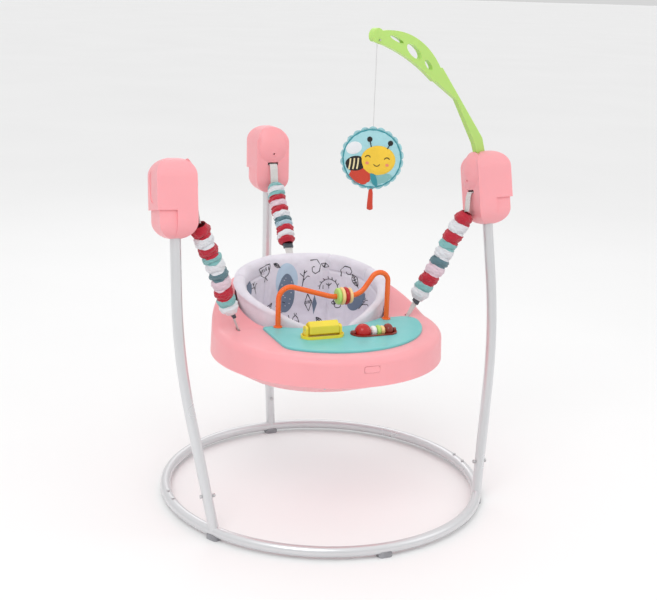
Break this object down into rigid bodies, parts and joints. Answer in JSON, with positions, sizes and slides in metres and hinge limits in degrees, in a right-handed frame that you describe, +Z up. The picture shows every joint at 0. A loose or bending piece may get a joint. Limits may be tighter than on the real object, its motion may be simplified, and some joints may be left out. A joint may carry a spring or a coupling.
{
  "type": "baby jumper",
  "caption": "Stationary baby jumper: round tube base, three posts, padded seat in a toy tray hung on three covered springs, and a toy on a cord from a leaf arm.",
  "frame": {"origin": "middle of the footprint on the floor, under the middle of the bounding box", "axes": "+Z up, the child faces -Y, +X is the side with the leaf arm"},
  "size_m": [0.9048, 0.9409, 1.1726],
  "materials": {
    "frame_tube": "satin silver-grey powder coat",
    "grey_plastic": "satin",
    "foot_rubber": "matte",
    "zinc": "zinc plated",
    "pink_plastic": "semi-gloss, slightly translucent",
    "webbing": "woven polyester tape",
    "sleeve_fabric": "striped gathered cotton",
    "spring_steel": "oiled",
    "dark_plastic": "satin",
    "teal_plastic": "semi-gloss",
    "orange_plastic": "gloss",
    "green_plastic": "semi-gloss",
    "cream_plastic": "gloss",
    "red_plastic": "gloss",
    "white_plastic": "gloss",
    "brown_plastic": "gloss",
    "amber_clear": "clear tinted plastic",
    "gold_beads": "gloss",
    "yellow_plastic": "gloss",
    "seat_fabric": "brushed knit over padding",
    "cord": "braided cord",
    "bee_plush": "printed short plush",
    "red_felt": "felt"
  },
  "bodies": {
    "frame": {"base_ring_front": "frame_tube", "base_ring_back": "frame_tube", "ring_connectors": "grey_plastic", "ring_screws": "zinc", "ring_feet": "foot_rubber", "post_left": "frame_tube", "post_right": "frame_tube", "post_back": "frame_tube", "post_bolts": "zinc", "pod_outer_left": "pink_plastic", "pod_outer_right": "pink_plastic", "pod_outer_back": "pink_plastic", "pod_inner_left": "pink_plastic", "pod_inner_right": "pink_plastic", "pod_inner_back": "pink_plastic", "pod_screws": "zinc", "strap_pins": "zinc", "upper_strap_left": "webbing", "upper_strap_right": "webbing", "upper_strap_back": "webbing", "spring_left": "spring_steel", "spring_right": "spring_steel", "spring_back": "spring_steel", "sleeve_left": "sleeve_fabric", "sleeve_right": "sleeve_fabric", "sleeve_back": "sleeve_fabric", "toy_arm": "green_plastic"},
    "seat": {"lower_strap_left": "webbing", "lower_strap_right": "webbing", "lower_strap_back": "webbing", "strap_buckles": "dark_plastic", "strap_anchors": "dark_plastic", "tray_upper": "pink_plastic", "tray_lower": "pink_plastic", "tray_screws": "zinc", "toy_panel": "teal_plastic", "bead_arch": "orange_plastic", "rattle_base": "yellow_plastic", "rattle_pin": "zinc", "roller_base": "brown_plastic", "roller_axle": "zinc", "seat_frame": "white_plastic", "seat_clips": "white_plastic", "seat_pad": "seat_fabric"},
    "latch": {"tray_latch": "pink_plastic"},
    "bead_1": {"bead_green": "green_plastic"},
    "bead_2": {"bead_cream": "cream_plastic"},
    "bead_3": {"bead_red": "red_plastic"},
    "bead_4": {"bead_orange": "cream_plastic"},
    "rattle": {"rattle_drum": "amber_clear", "rattle_beads": "gold_beads"},
    "ball_1": {"roller_red": "red_plastic"},
    "ball_2": {"roller_white": "white_plastic"},
    "ball_3": {"roller_green": "green_plastic"},
    "ball_4": {"roller_cream": "cream_plastic"},
    "ball_5": {"roller_brown": "brown_plastic"},
    "swing_pin": {"toy_ring": "zinc"},
    "swing_cord": {"toy_string": "cord"},
    "hanging_toy": {"bee_toy": "bee_plush", "bee_pull": "red_felt"}
  },
  "joints": [
    {"name": "seat_bounce", "type": "slide", "parent": "frame", "child": "seat", "axis": [0, 0, 1], "range_m": [-0.12, 0.03], "stiffness_N_per_m": 900, "springref_m": 0.04726, "deforming": ["spring_left", "spring_right", "spring_back", "sleeve_left", "sleeve_right", "sleeve_back"]},
    {"name": "latch_press", "type": "slide", "parent": "seat", "child": "latch", "axis": [0, 1, 0], "range_m": [0, 0.003], "stiffness_N_per_m": 600, "springref_m": -0.002},
    {"name": "bead_1_spin", "type": "hinge", "parent": "seat", "child": "bead_1", "pos_m": [0.023, -0.074, 0.514], "axis": [1, 0, 0], "continuous": true},
    {"name": "bead_2_spin", "type": "hinge", "parent": "seat", "child": "bead_2", "pos_m": [0.0328, -0.074, 0.514], "axis": [1, 0, 0], "continuous": true},
    {"name": "bead_3_spin", "type": "hinge", "parent": "seat", "child": "bead_3", "pos_m": [0.0431, -0.074, 0.514], "axis": [1, 0, 0], "continuous": true},
    {"name": "bead_4_spin", "type": "hinge", "parent": "seat", "child": "bead_4", "pos_m": [0.0534, -0.074, 0.514], "axis": [1, 0, 0], "continuous": true},
    {"name": "rattle_spin", "type": "hinge", "parent": "seat", "child": "rattle", "pos_m": [-0.056, -0.174, 0.467], "axis": [1, 0, 0], "continuous": true},
    {"name": "ball_1_spin", "type": "hinge", "parent": "seat", "child": "ball_1", "pos_m": [0.047, -0.18, 0.451], "axis": [1, 0, 0], "continuous": true},
    {"name": "ball_2_spin", "type": "hinge", "parent": "seat", "child": "ball_2", "pos_m": [0.0748, -0.18, 0.451], "axis": [1, 0, 0], "continuous": true},
    {"name": "ball_3_spin", "type": "hinge", "parent": "seat", "child": "ball_3", "pos_m": [0.0875, -0.18, 0.451], "axis": [1, 0, 0], "continuous": true},
    {"name": "ball_4_spin", "type": "hinge", "parent": "seat", "child": "ball_4", "pos_m": [0.098, -0.18, 0.451], "axis": [1, 0, 0], "continuous": true},
    {"name": "ball_5_spin", "type": "hinge", "parent": "seat", "child": "ball_5", "pos_m": [0.114, -0.18, 0.451], "axis": [1, 0, 0], "continuous": true},
    {"name": "toy_swing_across", "type": "hinge", "parent": "frame", "child": "swing_pin", "pos_m": [0.03856, -0.20582, 1.146], "axis": [-0.3219, 0.9468, 0], "range_deg": [-28, 28]},
    {"name": "toy_swing_along", "type": "hinge", "parent": "swing_pin", "child": "swing_cord", "pos_m": [0.03856, -0.20582, 1.146], "axis": [0.9468, 0.3219, 0], "range_deg": [-28, 28]},
    {"name": "toy_twist", "type": "hinge", "parent": "swing_cord", "child": "hanging_toy", "pos_m": [0.03856, -0.20582, 0.952], "axis": [0, 0, 1], "continuous": true}
  ]
}
